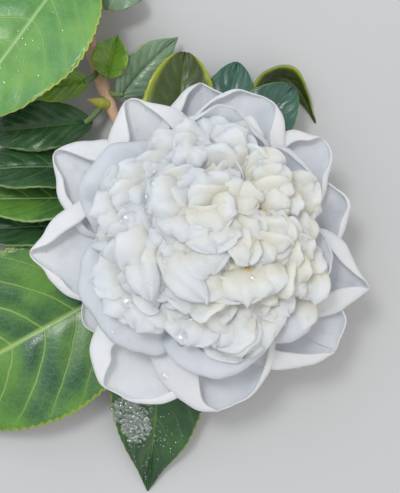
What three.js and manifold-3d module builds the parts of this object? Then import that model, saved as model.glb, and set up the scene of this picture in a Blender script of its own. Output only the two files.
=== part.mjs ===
// A cut camellia sprig: one large white double bloom and its leaves on a short twig.
// The sprig lies on a flat surface with its bloom facing up. Lengths are in millimetres and +Z is up.
// It is laid out with the bloom's axis on Z and the surface at Z = 0, and the finished group is then
// moved so that its origin is the middle of its underside.
import * as THREE from "three";
import { mergeVertices } from "three/addons/utils/BufferGeometryUtils.js";
import Module from "manifold-3d";

const wasm = await Module();
wasm.setup();

// Clearance left wherever two pieces meet, and the size under which the cuts leave no detail.
const GAP = 0.4;
const SMALLEST_DETAIL = 0.16;

// The cup of sepals under the bloom, with the short core above it that carries every petal.
const CALYX = { bottom: 7.8, cupRadius: 7.8, rim: 11, coreRadius: 5, coreTop: 27, stalkRadius: 1.8 };

// The open outer petals. A petal climbs from its root at the first angle and arrives at its tip at the
// second, its sides curled up, and each level lies one step above the last, as the petals overlap. Reach
// and width are a petal's own, point makes its tip blunt or sharp, and sway moves the tip to one side.
const GUARD = {
  root: 4,
  firstLevel: 10,
  levelStep: 2,
  climb: [30, -2],
  curl: 1 / 90,
  thickness: 0.9,
  strips: 2,
};
const GUARD_PETALS = [
  { azimuth: 94, reach: 52, width: 28, level: 1, point: 0.8, sway: -3 },
  { azimuth: 72, reach: 50.8, width: 33, level: 3, point: 0.5, sway: 0 },
  { azimuth: 40, reach: 50.5, width: 29, level: 2, point: 0.7, sway: 1 },
  { azimuth: 15.5, reach: 47.6, width: 28, level: 1, point: 0.6, sway: 0 },
  { azimuth: -14, reach: 53.6, width: 29, level: 2, point: 1.1, sway: 0 },
  { azimuth: -47, reach: 53, width: 36, level: 1, point: 0.7, sway: 8 },
  { azimuth: -84, reach: 51.6, width: 39, level: 2, point: 0.6, sway: -1 },
  { azimuth: -119, reach: 53.4, width: 36, level: 1, point: 0.4, sway: 0 },
  { azimuth: -146, reach: 45.5, width: 26, level: 0, point: 0.6, sway: 0 },
  { azimuth: -177.6, reach: 54, width: 33, level: 2, point: 1, sway: 0 },
  { azimuth: 150, reach: 55.3, width: 31, level: 1, point: 0.85, sway: -2 },
  { azimuth: 117, reach: 51.2, width: 31, level: 2, point: 0.8, sway: 0 },
];

// The shell-shaped inner petals, each cupped round one cluster of small petals.
const INNER = {
  root: 4,
  firstLevel: 18,
  levelStep: 2.2,
  climb: [4, 50],
  curl: 1 / 36,
  thickness: 1,
  strips: 4,
};
const INNER_PETALS = [
  { azimuth: 143, reach: 42.5, width: 36, level: 0, point: 0.5, sway: 0 },
  { azimuth: 82, reach: 42.5, width: 36, level: 1, point: 0.5, sway: 0 },
  { azimuth: 37, reach: 41, width: 32, level: 0, point: 0.5, sway: 0 },
  { azimuth: -10, reach: 40.5, width: 25, level: 1, point: 0.55, sway: 0 },
  { azimuth: -39, reach: 42, width: 24, level: 0, point: 0.55, sway: 0 },
  { azimuth: -80, reach: 38.5, width: 35, level: 1, point: 0.5, sway: 0 },
  { azimuth: -146, reach: 41, width: 45, level: 0, point: 0.45, sway: 0 },
];

// The clusters of small crumpled petals: one in the middle, and one in each inner petal, with its radius
// a share of the petal's width and its edge set back from the petal's tip.
const CLUSTER = { share: 0.34, setBack: 4, height: 33.5, tall: 12, uneven: 0.09 };
const MIDDLE_CLUSTER = { height: 35.5, radius: 16, tall: 16.5 };

// The twig's centre line, from its cut end to the bloom.
const TWIG = { cutRadius: 2.2, tipRadius: 1.6, sides: 8, steps: 16 };
const TWIG_ROUTE = [
  [-30, 124, TWIG.cutRadius],
  [-40, 84, 3.2],
  [-31, 47, 5.6],
  [-9, 11, 3.2],
  [-1.2, 1.6, 4],
  [0, 0, 6.3],
].map((p) => new THREE.Vector3(...p));

// The leaves. Node is the place on the twig, from 0 at the cut end to 1 at the bloom, and base and tip
// are the blade's two ends. Arch lifts the midrib and bend pushes it to one side, roll turns the blade
// about it in degrees, and fold lifts both halves of the blade. A taper of 0 rounds the tip off.
const LEAF = { thickness: 0.8, petioleRadius: 0.9, fold: 8 };
// The height of a leaf's tip where it rests on the surface.
const REST = 0.42;
const LEAVES = {
  leaf_upper_left: { node: 0.13, base: [-39.5, 95, 15], tip: [-79.5, 35, 25], width: 44, arch: 5, roll: 8 },
  leaf_lower_left: { node: 0.86, base: [-21, -9.5, 7], tip: [-105, -56, REST], width: 57, arch: 9, fold: 5 },
  leaf_bottom: { node: 0.91, base: [-11, -14, 5.5], tip: [-19, -84, REST], width: 32, arch: 4, fold: 12 },
  leaf_left_high: { node: 0.54, base: [-37, 41.5, 9], tip: [-75, 37, 9], width: 17, arch: 4, roll: 10 },
  leaf_left_small: { node: 0.48, base: [-38, 55, 10.5], tip: [-61, 51, 15], width: 11, arch: 1, roll: -15 },
  leaf_left_upper: { node: 0.68, base: [-30, 27, 10], tip: [-84, 25, 13], width: 21, arch: 3, roll: 38 },
  leaf_left_middle: { node: 0.74, base: [-28, 17, 9], tip: [-87, 15, 12], width: 22, arch: 3, roll: 38 },
  leaf_left_lower: { node: 0.8, base: [-25, 8, 8], tip: [-82, 5.5, 9], width: 20, arch: 3, roll: 38 },
  leaf_twig_top: { node: 0.26, base: [-37, 88, 9], tip: [-20.5, 82, 10], width: 15, arch: 2, taper: 0.5 },
  leaf_twig_young: { node: 0.44, base: [-32, 56, 11], tip: [-28, 69.5, 14], width: 12, arch: 1, fold: 30 },
  leaf_twig_right: { node: 0.52, base: [-28, 50, 7], tip: [-8.5, 70.5, 6], width: 14, arch: 4, roll: 25 },
  leaf_top_left: { node: 0.77, base: [-10, 22, 7], tip: [-6, 64.5, 11], width: 26, arch: 4, roll: 6, taper: 0 },
  leaf_top: { node: 0.83, base: [2, 18, 4], tip: [11.5, 62, 7], width: 25, arch: 3, roll: -4, taper: 0.2 },
  leaf_top_right: { node: 0.87, base: [3, 23, 8], tip: [29.7, 52.7, 13], width: 23, arch: 3, taper: 0 },
  leaf_arching: { node: 0.9, base: [15, 42, 3], tip: [38.5, 42.5, REST], width: 12, arch: 4, bend: 15, roll: 50 },
  leaf_right: { node: 0.94, base: [12, 1, 4.5], tip: [44, 4, REST], width: 23, arch: 4 },
  leaf_lower_right: { node: 0.95, base: [9, -9, 4], tip: [42, -24, REST], width: 23, arch: 4 },
};

// Leaf buds in two leaf axils.
const BUD = { length: 7.5, radius: 1.9 };
const BUDS = {
  leaf_bud_upper: { node: 0.575, heading: [-0.75, 0.1, 0.65] },
  leaf_bud_lower: { node: 0.28, heading: [-0.8, -0.5, 0.3] },
};

const COLOURS = {
  petal: { color: 0xf2f0ec, roughness: 0.5, metalness: 0 },
  cluster: { color: 0xefead8, roughness: 0.5, metalness: 0 },
  calyx: { color: 0x8fa050, roughness: 0.6, metalness: 0 },
  bark: { color: 0xa8795a, roughness: 0.75, metalness: 0 },
  leaf: { color: 0x2f6a2c, roughness: 0.35, metalness: 0 },
  bud: { color: 0xb7b340, roughness: 0.5, metalness: 0 },
};

const radians = THREE.MathUtils.degToRad;
const smooth = (x) => THREE.MathUtils.smoothstep(x, 0, 1);

// Moves every vertex of a geometry to the place that a function gives for it.
function mapped(geometry, place) {
  const positions = geometry.getAttribute("position");
  const from = new THREE.Vector3();
  for (let i = 0; i < positions.count; i++) {
    const to = place(from.fromBufferAttribute(positions, i));
    positions.setXYZ(i, to.x, to.y, to.z);
  }
  return geometry;
}

// A closed geometry as a solid for cutting and joining.
function solidOf(geometry) {
  geometry.deleteAttribute("normal");
  geometry.deleteAttribute("uv");
  const merged = mergeVertices(geometry, 1e-4);
  return new wasm.Manifold(
    new wasm.Mesh({
      numProp: 3,
      vertProperties: new Float32Array(merged.attributes.position.array),
      triVerts: new Uint32Array(merged.index.array),
    }),
  );
}

function geometryOf(solid) {
  const mesh = solid.getMesh();
  const geometry = new THREE.BufferGeometry();
  geometry.setAttribute("position", new THREE.BufferAttribute(mesh.vertProperties, 3));
  geometry.setIndex(new THREE.BufferAttribute(mesh.triVerts, 1));
  return geometry;
}

// A round limb of changing radius along a curve.
function limb(curve, radiusAt, sides, steps) {
  const frames = curve.computeFrenetFrames(steps, false);
  const cylinder = new THREE.CylinderGeometry(1, 1, 1, sides, steps);
  return solidOf(
    mapped(cylinder, ({ x, y, z }) => {
      const step = Math.round((y + 0.5) * steps);
      const radius = radiusAt(step / steps);
      return curve
        .getPointAt(step / steps)
        .addScaledVector(frames.normals[step], x * radius)
        .addScaledVector(frames.binormals[step], -z * radius);
    }),
  );
}

// A petal's half width, as a share of its widest, from claw to tip. A larger point makes the tip sharper.
function petalOutline(along, point) {
  const clawWidth = 0.3;
  const widestAt = 0.62;
  if (along < widestAt) return clawWidth + (1 - clawWidth) * smooth(along / widestAt);
  const pastWidest = (along - widestAt) / (1 - widestAt);
  return Math.max(0.02, (1 - pastWidest ** 2) ** point);
}

// One petal: a thin blade that climbs outwards along an arc, its sides curled up about its length.
function petalSolid(kind, petal, grow) {
  const [start, end] = kind.climb.map(radians);
  const length = ((petal.reach - kind.root) * (end - start)) / (Math.sin(end) - Math.sin(start));
  const turn = (end - start) / length;
  const height = kind.firstLevel + petal.level * kind.levelStep;
  const azimuth = radians(petal.azimuth);
  const outwards = new THREE.Vector3(Math.cos(azimuth), Math.sin(azimuth), 0);
  const sideways = new THREE.Vector3(-Math.sin(azimuth), Math.cos(azimuth), 0);
  const up = new THREE.Vector3(0, 0, 1);
  return solidOf(
    mapped(new THREE.BoxGeometry(1, 1, 1, 6, kind.strips, 1), ({ x, y, z }) => {
      const along = Math.sin(((x + 0.5) * Math.PI) / 2);
      const climb = start + turn * along * length;
      const run = kind.root + (Math.sin(climb) - Math.sin(start)) / turn;
      const rise = height - (Math.cos(climb) - Math.cos(start)) / turn;
      const halfWidth = (petal.width / 2) * petalOutline(along, petal.point) + grow;
      const lean = 2 * y * halfWidth * kind.curl;
      const lift = 2 * z * (kind.thickness / 2 + grow);
      const inwards = new THREE.Vector3()
        .addScaledVector(outwards, -Math.sin(climb))
        .addScaledVector(up, Math.cos(climb));
      return new THREE.Vector3()
        .addScaledVector(outwards, run + Math.cos(climb) * 2 * x * grow)
        .addScaledVector(up, rise + Math.sin(climb) * 2 * x * grow)
        .addScaledVector(sideways, petal.sway * along ** 3)
        .addScaledVector(sideways, Math.sin(lean) * (1 / kind.curl - lift))
        .addScaledVector(inwards, (1 - Math.cos(lean)) / kind.curl + Math.cos(lean) * lift);
    }),
  );
}

// A rounded, uneven lump standing for a cluster of small petals.
function clusterSolid(centre, radius, tall, phase, grow) {
  return solidOf(
    mapped(new THREE.IcosahedronGeometry(1, 2), (p) => {
      const around = Math.atan2(p.y, p.x);
      const bump = 1 + CLUSTER.uneven * Math.sin(5 * around + phase) * Math.cos(3 * p.z + 2 * phase);
      return new THREE.Vector3(
        centre[0] + p.x * (radius * bump + grow),
        centre[1] + p.y * (radius * bump + grow),
        centre[2] + p.z * (tall * bump + grow),
      );
    }),
  );
}

// The calyx cup and the core above it, turned about the bloom's axis.
function calyxSolid(grow) {
  const { bottom, cupRadius, rim, coreRadius, coreTop, stalkRadius } = CALYX;
  const profile = [
    [0, bottom - grow],
    [stalkRadius + grow, bottom - grow],
    [cupRadius * 0.8 + grow, bottom + 0.8 - grow],
    [cupRadius + grow, rim + grow],
    [coreRadius + grow, rim - 0.8 + grow],
    [coreRadius + grow, coreTop + grow],
    [0, coreTop + 1.5 + grow],
  ].map(([x, y]) => new THREE.Vector2(x, y));
  return solidOf(new THREE.LatheGeometry(profile, 16).rotateX(Math.PI / 2));
}

const twigCurve = new THREE.CatmullRomCurve3(TWIG_ROUTE);

function twigSolid(grow) {
  const radiusAt = (t) => THREE.MathUtils.lerp(TWIG.cutRadius, TWIG.tipRadius, t) + grow;
  return limb(twigCurve, radiusAt, TWIG.sides, TWIG.steps);
}

// A leaf's half width, as a share of its widest: rounded at the base, drawn out to a point at the tip.
function leafOutline(along, taper) {
  const body = Math.sin(Math.PI * along ** 0.8) ** THREE.MathUtils.lerp(0.5, 0.8, taper);
  return Math.max(0.02, body * (1 - 0.4 * taper * smooth((along - 0.7) / 0.3)));
}

// One leaf: a thin blade bent along its midrib, and the petiole that joins it to the twig.
function leafSolid({ node, base, tip, width, arch, roll = 0, fold = LEAF.fold, bend = 0, taper = 1 }, grow) {
  const from = new THREE.Vector3(...base);
  const to = new THREE.Vector3(...tip);
  const chord = to.clone().sub(from).normalize();
  const level = new THREE.Vector3(-chord.y, chord.x, 0).normalize();
  const middle = from.clone().lerp(to, 0.5).addScaledVector(level, 2 * bend);
  middle.z += 2 * arch;
  const midrib = new THREE.QuadraticBezierCurve3(from, middle, to);
  const slope = Math.tan(radians(fold));
  const blade = solidOf(
    mapped(new THREE.BoxGeometry(1, 1, 1, 6, 2, 1), ({ x, y, z }) => {
      const along = THREE.MathUtils.lerp(x + 0.5, (1 + Math.sin(x * Math.PI)) / 2, 0.5);
      const heading = midrib.getTangent(along);
      const aside = new THREE.Vector3(-heading.y, heading.x, 0).normalize();
      const sideways = aside.applyAxisAngle(heading, radians(roll));
      const upwards = heading.clone().cross(sideways);
      const across = 2 * y * ((width / 2) * leafOutline(along, taper) + grow);
      return midrib
        .getPoint(along)
        .addScaledVector(heading, 2 * x * grow)
        .addScaledVector(sideways, across)
        .addScaledVector(upwards, Math.abs(across) * slope + 2 * z * (LEAF.thickness / 2 + grow));
    }),
  );
  const root = twigCurve.getPointAt(node);
  const bow = from.clone().lerp(root, 0.4).addScaledVector(chord, -2);
  const petiole = new THREE.QuadraticBezierCurve3(root, bow, midrib.getPoint(0.05));
  return blade.add(limb(petiole, () => LEAF.petioleRadius + grow, 4, 2));
}

// A leaf bud: a small spindle standing off the twig.
function budSolid({ node, heading }, grow) {
  const root = twigCurve.getPointAt(node);
  const away = new THREE.Vector3(...heading).normalize();
  const tip = root.clone().addScaledVector(away, BUD.length + TWIG.cutRadius);
  const radiusAt = (t) => BUD.radius * Math.sin(Math.PI * (0.3 + 0.64 * t)) + grow;
  return limb(new THREE.LineCurve3(root, tip), radiusAt, 7, 5);
}

// The pieces are fitted one after another: each is cut clear of those before it.
const group = new THREE.Group();
const fitted = [];

function boxOf(solid) {
  const { min, max } = solid.boundingBox();
  return new THREE.Box3(new THREE.Vector3(...min), new THREE.Vector3(...max));
}

function addPiece(name, colour, makeSolid) {
  let solid = makeSolid(0);
  const box = boxOf(solid);
  for (const other of fitted) {
    if (other.box.intersectsBox(box)) solid = solid.subtract(other.grown);
  }
  const largest = solid.decompose().sort((a, b) => b.volume() - a.volume())[0];
  const grown = makeSolid(GAP);
  fitted.push({ grown, box: boxOf(grown) });
  const material = new THREE.MeshStandardMaterial(COLOURS[colour]);
  const mesh = new THREE.Mesh(geometryOf(largest.simplify(SMALLEST_DETAIL)), material);
  mesh.name = name;
  group.add(mesh);
}

const numbered = (name, index) => `${name}_${String(index + 1).padStart(2, "0")}`;

addPiece("twig", "bark", twigSolid);
addPiece("calyx", "calyx", calyxSolid);
GUARD_PETALS.forEach((petal, i) => {
  addPiece(numbered("guard_petal", i), "petal", (grow) => petalSolid(GUARD, petal, grow));
});
INNER_PETALS.forEach((petal, i) => {
  addPiece(numbered("inner_petal", i), "petal", (grow) => petalSolid(INNER, petal, grow));
});
addPiece("petal_cluster_middle", "cluster", (grow) => {
  const { height, radius, tall } = MIDDLE_CLUSTER;
  return clusterSolid([0, 0, height], radius, tall, 0, grow);
});
INNER_PETALS.forEach((petal, i) => {
  const azimuth = radians(petal.azimuth);
  const radius = petal.width * CLUSTER.share;
  const distance = petal.reach - CLUSTER.setBack - radius;
  const centre = [distance * Math.cos(azimuth), distance * Math.sin(azimuth), CLUSTER.height];
  addPiece(numbered("petal_cluster", i), "cluster", (grow) => {
    return clusterSolid(centre, radius, CLUSTER.tall, i + 1, grow);
  });
});
for (const [name, leaf] of Object.entries(LEAVES)) {
  addPiece(name, "leaf", (grow) => leafSolid(leaf, grow));
}
for (const [name, bud] of Object.entries(BUDS)) {
  addPiece(name, "bud", (grow) => budSolid(bud, grow));
}

const whole = new THREE.Box3().setFromObject(group);
group.position.set(-(whole.min.x + whole.max.x) / 2, -(whole.min.y + whole.max.y) / 2, -whole.min.z);

export default group;
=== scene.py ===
"""A cut camellia sprig: one large white double bloom on its twig, with leaves, buds and rain drops.

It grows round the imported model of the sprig, which gives every piece its place. Shapes are drawn in
millimetres about the bloom's axis, +Z up, and one transform then puts them in the model's frame, in metres.
"""

import math
import random
from typing import NamedTuple

import bmesh
import bpy
from mathutils import Matrix, Vector, noise


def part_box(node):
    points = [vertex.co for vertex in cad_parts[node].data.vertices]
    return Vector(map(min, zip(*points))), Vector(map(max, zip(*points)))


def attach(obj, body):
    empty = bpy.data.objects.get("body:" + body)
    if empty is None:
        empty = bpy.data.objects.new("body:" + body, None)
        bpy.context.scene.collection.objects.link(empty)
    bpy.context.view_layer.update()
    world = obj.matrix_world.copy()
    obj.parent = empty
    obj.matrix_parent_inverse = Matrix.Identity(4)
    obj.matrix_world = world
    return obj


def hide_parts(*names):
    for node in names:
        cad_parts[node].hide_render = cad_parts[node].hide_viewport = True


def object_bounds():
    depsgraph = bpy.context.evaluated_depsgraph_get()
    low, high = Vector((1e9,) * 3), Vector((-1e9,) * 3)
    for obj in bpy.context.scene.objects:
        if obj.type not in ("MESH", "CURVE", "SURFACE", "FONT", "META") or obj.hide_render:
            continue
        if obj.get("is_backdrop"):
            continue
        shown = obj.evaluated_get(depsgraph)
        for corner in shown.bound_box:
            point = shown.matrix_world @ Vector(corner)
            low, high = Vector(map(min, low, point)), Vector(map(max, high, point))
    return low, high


bl_info = {
    "name": "Camellia Sprig",
    "version": (1, 0, 0),
    "blender": (4, 5, 0),
    "location": "3D View > Sidebar > Camellia",
    "description": "Grows a cut camellia sprig with one open bloom, its leaves and rain drops",
    "category": "Add Mesh",
}

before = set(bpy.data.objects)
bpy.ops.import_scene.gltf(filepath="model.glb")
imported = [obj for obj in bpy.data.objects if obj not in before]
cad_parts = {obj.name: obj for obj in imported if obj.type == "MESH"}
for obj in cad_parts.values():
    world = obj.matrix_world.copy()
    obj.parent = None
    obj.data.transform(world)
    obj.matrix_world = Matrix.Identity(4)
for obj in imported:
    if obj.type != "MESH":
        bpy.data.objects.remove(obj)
CAD_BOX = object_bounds()

MM = 0.001
UP = Vector((0.0, 0.0, 1.0))


def bloom_axis():
    """The foot of the bloom's axis on the surface that the sprig lies on."""
    low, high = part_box("calyx")
    return Vector(((low.x + high.x) / 2, (low.y + high.y) / 2, 0.0))


AXIS = bloom_axis()
PLACE = Matrix.Translation(AXIS) @ Matrix.Scale(MM, 4)


# Shapes of the bloom

class Ring(NamedTuple):
    """How a ring of petals grows: heights and lengths in millimetres, slopes in degrees."""

    root: float
    first_level: float
    level_step: float
    climb: tuple
    curl: float


class Fold(NamedTuple):
    """A stretch of a petal's margin that is folded over the petal's face, like a lens.

    The stretch runs between two places on the margin, from -1 at one side of the claw, through 0 at the
    tip, to 1 at the other side. Width is the fold's widest, turn how far over it is folded, in degrees.
    """

    start: float
    end: float
    width: float
    turn: float = 158.0


class Petal(NamedTuple):
    """One large petal: azimuth in degrees, reach and width in millimetres, and its folded margins."""

    azimuth: float
    reach: float
    width: float
    level: float
    point: float
    sway: float = 0.0
    folds: tuple = ()
    wave: float = 0.5


GUARD = Ring(root=4, first_level=10, level_step=2, climb=(30, -2), curl=1 / 90)
GUARD_PETALS = (
    Petal(94, 52, 28, 1, 0.8, -3, (Fold(-0.02, 0.8, 6.5), Fold(-0.5, 0.0, 3))),
    Petal(72, 50.8, 33, 3, 0.5, 0, (Fold(-0.12, 0.72, 4), Fold(-0.85, -0.1, 7))),
    Petal(40, 50.5, 29, 2, 0.7, 1, (Fold(0.02, 0.8, 7), Fold(-0.75, 0.0, 4))),
    Petal(15.5, 47.6, 28, 1, 0.6, 0, (Fold(-0.75, 0.5, 4.5),), 1.8),
    Petal(-14, 53.6, 29, 2, 1.1, 0, (Fold(0.0, 0.85, 6), Fold(-0.85, 0.0, 8.5))),
    Petal(-47, 53, 36, 1, 0.7, 8, (Fold(0.03, 0.7, 3), Fold(-0.9, 0.03, 9.5))),
    Petal(-84, 51.6, 39, 2, 0.6, -1, (Fold(0.05, 0.85, 4.5), Fold(-0.95, 0.05, 12))),
    Petal(-119, 53.4, 36, 1, 0.4, 0, (Fold(-0.95, -0.02, 11), Fold(-0.2, 0.75, 4.5))),
    Petal(-146, 45.5, 26, 0, 0.6, 0, (Fold(-0.6, 0.6, 2),)),
    Petal(-177.6, 54, 33, 2, 1, 0, (Fold(-0.85, 0.0, 7.5), Fold(0.0, 0.8, 4.5))),
    Petal(150, 55.3, 31, 1, 0.85, -2, (Fold(-0.8, 0.0, 7), Fold(0.0, 0.8, 6))),
    Petal(117, 51.2, 31, 2, 0.8, 0, (Fold(0.0, 0.8, 7.5), Fold(-0.9, 0.0, 7))),
)

SHELL = Ring(root=4, first_level=18, level_step=2.2, climb=(4, 50), curl=1 / 36)
SHELL_PETALS = (
    Petal(143, 42.5, 36, 0, 0.5, 0, (Fold(-0.95, 0.45, 12, 138), Fold(-0.2, 0.98, 8, 138)), 1.6),
    Petal(82, 42.5, 36, 1, 0.5, 0, (Fold(-0.7, 0.0, 3, 110), Fold(0.0, 0.9, 5, 120)), 1.4),
    Petal(37, 41, 32, 0, 0.5, 0, (Fold(-0.7, 0.7, 2.8, 110),), 1.6),
    Petal(-10, 40.5, 25, 1, 0.55, 0, (Fold(-0.6, 0.6, 2, 110),), 1.6),
    Petal(-39, 42, 24, 0, 0.55, 0, (Fold(-0.6, 0.6, 8, 130),), 1.0),
    Petal(-80, 40, 38, 1, 0.5, 0, (Fold(-0.95, 0.4, 9, 138), Fold(-0.2, 0.9, 7, 138)), 1.0),
    Petal(-146, 41, 45, 0, 0.45, 0, (Fold(-0.98, 0.98, 12.5, 136),), 1.0),
)

SEPALS = 7
SEPAL_RING = Ring(root=1.2, first_level=7.9, level_step=0.3, climb=(2, 74), curl=1 / 7)

# A petal's claw, as a share of its half width, and the share of its length where it is widest.
CLAW_WIDTH = 0.3
WIDEST = 0.62
# The shares of a petal's margin, from the tip, that lie beyond its widest place.
TIP_SHARE = 0.55
FOLD_RADIUS = 2.0
FOLD_SCALE = 1.35
FOLD_UNEVENNESS = 0.3
MARGIN_RUFFLE = 1.3
RUFFLE_PITCH = 0.13
# Points along a petal's margin, and rows from its middle to its margin and over its fold.
PETAL_COLUMNS = 104
BODY_ROWS = 12
FOLD_ROWS = 10


class Lobe(NamedTuple):
    """One small petal of the heart, by the place of its tip, in millimetres, with its angles in degrees.

    It rises out of the heart to a crest on the heart's dome, and hangs beyond that for a length of hang,
    with its tip turned down by droop. A negative curl turns its sides down, and lift sets its crest above
    or below the dome. Roll turns it about its length, and a crease folds its halves up from its middle, or
    down where it is negative, as a slope.
    """

    x: float
    y: float
    heading: float
    width: float
    hang: float
    droop: float = 40.0
    curl: float = -0.05
    lift: float = 0.0
    roll: float = 0.0
    crease: float = 0.0

    def crest(self, dome, sink=0.0):
        """The place where the petal starts to roll over, before its tip."""
        heading, _ = heading_of(self.heading)
        droop = math.radians(self.droop)
        radius = self.hang / (droop + LOBE_SLOPE)
        spot = Vector((self.x, self.y, 0)) - heading * (radius * (math.sin(droop) + math.sin(LOBE_SLOPE)))
        return spot + UP * (dome.height(spot.x, spot.y) + self.lift - sink)


# How steeply a small petal still climbs where it starts to roll over, so that its tip lies on the next one.
LOBE_SLOPE = math.radians(26)

HEART_LOBES = tuple(Lobe(*numbers) for numbers in (
    # Top
    (0.5, 32.5, -95, 18, 5, 47, -0.03, -1), (6.5, 30, 80, 15.5, 3.5, 54, -0.05),
    (-0.5, 24, -70, 9.5, 5, 47, -0.06), (6.5, 26, 90, 12.5, 5, -25, 0.12, -2),
    (14, 22.5, 20, 9.5, 3.5, 47, -0.06), (0.5, 38.5, 110, 13.5, 5.5, 27, -0.03, -3),
    (13, 33, 45, 17, 6, 40, -0.04, 0.5), (-9, 25, 180, 19.5, 5, 34, -0.03, -1),
    (-5.5, 21.5, 190, 12, 3.5, 47, -0.05, -0.5),
    # Upper right
    (20.5, 25, 90, 12, 5, 40, -0.05), (25, 20.5, 10, 10, 5, 47, -0.06), (23, 14, -80, 8.5, 4, 54, -0.08, 0.5),
    (17.5, 13.5, -70, 8, 5, 54, -0.08, 1), (33.5, 19, 30, 14, 5.5, 34, -0.04),
    (30, 21.5, 70, 10, 5, 47, -0.05), (34.5, 12, 0, 10, 3.5, 40, -0.05, -1),
    (27, 10, -60, 8.5, 3.5, 47, -0.06), (17, 25, 120, 9.5, 3.5, 40, -0.05, -1),
    # Middle left
    (1, 21.5, 105, 12.5, 5, 61, -0.06, 1.5), (7.5, 16, -70, 10, 5, 54, -0.07, 1),
    (-15, 9, 190, 22, 6.5, 47, -0.03, 1.5), (-6, 1.5, -100, 13.5, 5.5, 47, -0.05, 1),
    (2.5, 3, -85, 14, 6.5, 47, -0.07, 1.5), (8.5, 9.5, -10, 12, 3.5, 54, -0.05, 1.5),
    # Middle
    (13, 10.5, -85, 10, 5, 47, -0.06, 1), (13.5, 3, -90, 10.5, 5, 47, -0.05, 0.5),
    (3.5, -1, -80, 16, 4, 47, -0.04, 2), (2.5, -8.5, -65, 18, 6.5, 47, -0.04, 2),
    (13, -5, -80, 10, 5.5, 47, -0.06, 1.5), (-8, -3, -95, 8, 3, 47, -0.2, -1),
    # Right
    (25.5, 1.5, 0, 15.5, 5.5, 47, -0.05, 1), (18, -13.5, -75, 17.5, 5, 54, -0.04, 1),
    (20, -4.5, -60, 12, 5, 47, -0.05), (28.5, 2.5, 10, 13.5, 3, 40, -0.04),
    (32, 2.5, 30, 10.5, 3.5, 47, -0.05), (35.5, -1.5, 20, 12, 3.5, 40, -0.05, -1),
    (33, -16, -85, 10.5, 6.5, 47, -0.05), (37, -11.5, -20, 12, 3.5, 34, -0.04, -1),
    # Lower right
    (24.5, -19.5, -40, 12, 5.5, 47, -0.05), (19, -22, -85, 9.5, 5, 47, -0.06),
    (28.5, -15.5, -60, 9.5, 5, 47, -0.06), (28, -25, -100, 12, 6.5, 34, -0.03, -2),
    # Lower
    (0, -14.5, -125, 19.5, 5.5, 47, -0.04, 1.5), (12, -16.5, -80, 25, 6.5, 47, -0.05, 1.8),
    (12, -25.5, -80, 24, 8.5, 20, 0.05, -2.5), (4, -29.5, -110, 19, 7.5, 30, 0.03, -2),
    (-5, -28.5, -110, 17, 6, 34, -0.03, -1.5), (18, -30, -62, 19, 7.5, 30, 0.03, -2.5),
    (11, -33.5, -85, 21, 6, 34, -0.03, -3), (-10, -7, -135, 23.5, 5, 47, -0.03, 1),
    (-5, -15.5, -120, 14, 5, 40, -0.05), (0.5, -23, -80, 14, 5.5, 34, -0.04, -2),
    (-7, -22, -95, 14, 5.5, 40, -0.04, -1),
    # Lower left
    (-15.5, -15.5, -72, 10.5, 11, 30, -0.03, 1.5, 18, -0.3),
    (0.5, -16, -46, 10, 13.5, 30, -0.03, 2.2, 10, -0.25), (-23, -7.5, 205, 22, 6.5, 54, -0.04, 0.5),
    (-14, -15.5, -110, 13.5, 5, 47, -0.05), (-32.5, -10, 195, 15, 6, 40, -0.04, -1),
    (-29, -18.5, 215, 17, 6.5, 40, -0.04, -0.5), (-20.5, -24.5, -120, 17, 6.5, 40, -0.04, -0.5),
    # Upper left
    (-17.5, 26, 95, 17.5, 5.5, 47, -0.03, -1), (-12.5, 22, 30, 10, 3.5, 47, -0.06),
    (-31.5, 17.5, 170, 15.5, 5.5, 40, -0.04, -1), (-32.5, 9.5, 190, 13, 5.5, 40, -0.05, -0.5),
    (-33, 0.5, 178, 15, 9, 70, -0.05, -1.5), (-30, -4, 184, 13, 7, 60, -0.05, -0.5),
    (-25, 22.5, 140, 13, 5, 40, -0.05, -0.5), (-27, 13, 200, 10, 5, 47, -0.05, 0.5),
    (-23, 15, -60, 5.5, 3, 47, -0.1), (-17.5, 11.5, -90, 9.5, 5.5, 34, -0.06),
    (-28.5, 3.5, -120, 11, 6.5, 34, -0.05, -0.5), (-19, 2.5, -95, 8.5, 5.5, 34, -0.06, -1),
    (-21, 19, 150, 10.5, 5, 47, -0.05, -0.5),
))


class Furrow(NamedTuple):
    """A furrow between two groups of small petals, along a line of places, in millimetres."""

    depth: float
    width: float
    line: tuple

    def at(self, x, y):
        """How deep the furrow is at that place."""
        spot = Vector((x, y))
        nearest = 99.0
        for start, end in zip(self.line, self.line[1:]):
            start, end = Vector(start), Vector(end)
            share = (spot - start).dot(end - start) / (end - start).length_squared
            foot = start.lerp(end, min(max(share, 0.0), 1.0))
            nearest = min(nearest, (spot - foot).length)
        return self.depth * math.exp(-((nearest / self.width) ** 2))


FURROWS = (
    Furrow(5.2, 3.0, ((-10, 25), (-14.8, 17.7), (-15.4, 9), (-16.5, 2.3), (-24, -1.2))),
    Furrow(4.8, 2.8, ((-9, 19.7), (-3.8, 22.6), (3.5, 22.6), (10.7, 21.5), (11.6, 28))),
    Furrow(4.8, 2.6, ((13.6, 19.1), (16, 11.9), (10.7, 9.6))),
    Furrow(4.0, 2.6, ((-9.6, -15.7), (-2.3, -18.5), (6.4, -19.6), (18, -16.5), (24, -13))),
    Furrow(4.8, 2.2, ((8.7, -7), (15.1, -4.6))),
    Furrow(4.8, 3.0, ((27.5, 18), (29.6, 11.9), (25.2, 6.1))),
    Furrow(3.0, 2.0, ((-6, 0.7), (-3, 2.5))),
)


class Dome(NamedTuple):
    """The heart's dome: its rim height, its height above the rim and its radius in millimetres."""

    rim: float
    rise: float
    radius: float

    def height(self, x, y):
        share = min((x * x + y * y) / self.radius**2, 1.0)
        depth = max(furrow.at(x, y) for furrow in FURROWS)
        return self.rim + self.rise * math.sqrt(1.0 - share) - depth


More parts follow.
